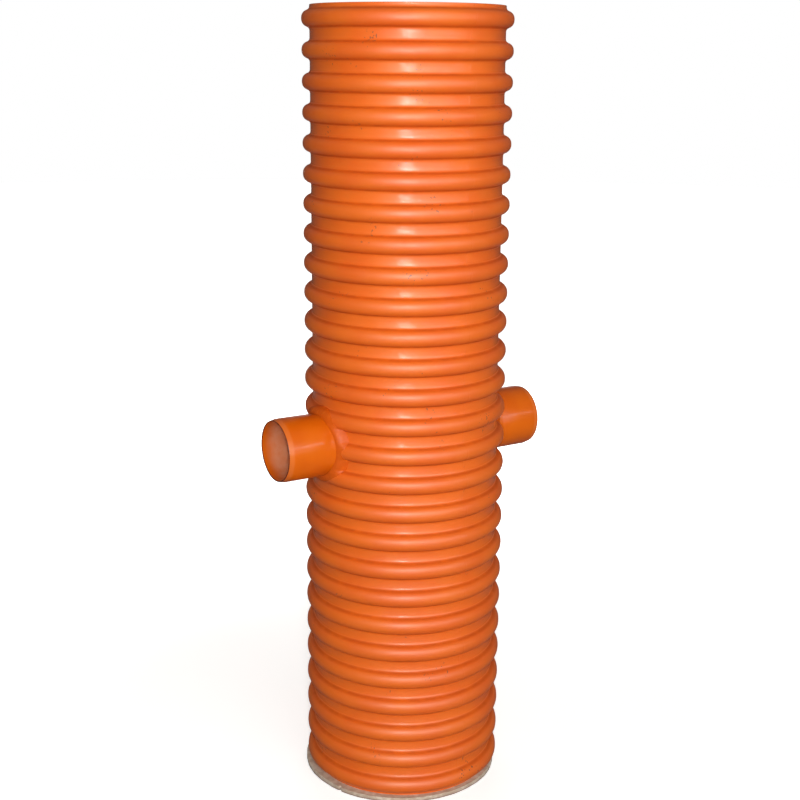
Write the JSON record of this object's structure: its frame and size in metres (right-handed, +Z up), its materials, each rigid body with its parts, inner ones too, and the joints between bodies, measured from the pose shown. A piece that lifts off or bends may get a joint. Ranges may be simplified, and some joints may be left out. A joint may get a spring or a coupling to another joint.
{
  "type": "drain well",
  "caption": "Tall corrugated plastic drain well, open at the top, with a flat sheet base and a short pipe stub welded into each side at mid-height.",
  "frame": {"origin": "on the shaft's axis at the underside of the base plate", "axes": "+Z up along the shaft, +X along the outlet stub, -X along the inlet stub"},
  "size_m": [0.52, 0.3572, 1.3764],
  "materials": {
    "shaft_plastic": "satin, as extruded",
    "stub_plastic": "smooth, semi-gloss",
    "weld_plastic": "uneven weld bead, semi-gloss",
    "base_sheet": "sawn sheet, matt"
  },
  "bodies": {
    "root": {"corrugated_shaft": "shaft_plastic", "inlet_stub": "stub_plastic", "outlet_stub": "stub_plastic", "inlet_weld": "weld_plastic", "outlet_weld": "weld_plastic", "base_plate": "base_sheet"}
  },
  "joints": []
}
